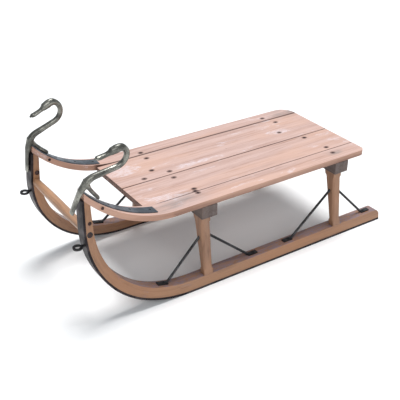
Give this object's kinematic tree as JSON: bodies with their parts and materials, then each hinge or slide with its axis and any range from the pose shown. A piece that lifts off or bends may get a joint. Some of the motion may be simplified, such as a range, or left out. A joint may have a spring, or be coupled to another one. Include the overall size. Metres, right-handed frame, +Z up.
{
  "type": "antique wooden sled",
  "caption": "Low wooden sled with curved iron-shod runners, posts and a plank deck, braced with iron rods, with cast swan heads at the front.",
  "frame": {"origin": "on the floor under the middle of the sled's box", "axes": "+X forward towards the swans, +Y the sled's left, +Z up"},
  "size_m": [0.99, 0.399, 0.4769],
  "materials": {
    "deck_wood": "worn, traces of pale paint",
    "runner_wood": "worn varnish",
    "post_wood": "worn varnish",
    "rung_wood": "worn varnish",
    "beam_wood": "worn, greyed ends",
    "shoe_iron": "dark worn iron",
    "strap_iron": "grey-blue worn iron",
    "brace_iron": "dark iron",
    "swan_iron": "bare grey cast iron, rubbed"
  },
  "bodies": {
    "root": {"runner_left": "runner_wood", "runner_shoe_left": "shoe_iron", "side_rail_left": "deck_wood", "centre_board_left": "deck_wood", "arm_strap_left": "strap_iron", "front_post_left": "post_wood", "rear_post_left": "post_wood", "front_fore_brace_left": "brace_iron", "front_aft_brace_left": "brace_iron", "rear_fore_brace_left": "brace_iron", "rear_aft_brace_left": "brace_iron", "rope_eye_left": "brace_iron", "swan_left": "swan_iron", "runner_right": "runner_wood", "runner_shoe_right": "shoe_iron", "side_rail_right": "deck_wood", "centre_board_right": "deck_wood", "arm_strap_right": "strap_iron", "front_post_right": "post_wood", "rear_post_right": "post_wood", "front_fore_brace_right": "brace_iron", "front_aft_brace_right": "brace_iron", "rear_fore_brace_right": "brace_iron", "rear_aft_brace_right": "brace_iron", "rope_eye_right": "brace_iron", "swan_right": "swan_iron", "front_beam": "beam_wood", "rear_beam": "beam_wood", "front_rung": "rung_wood"}
  },
  "joints": []
}
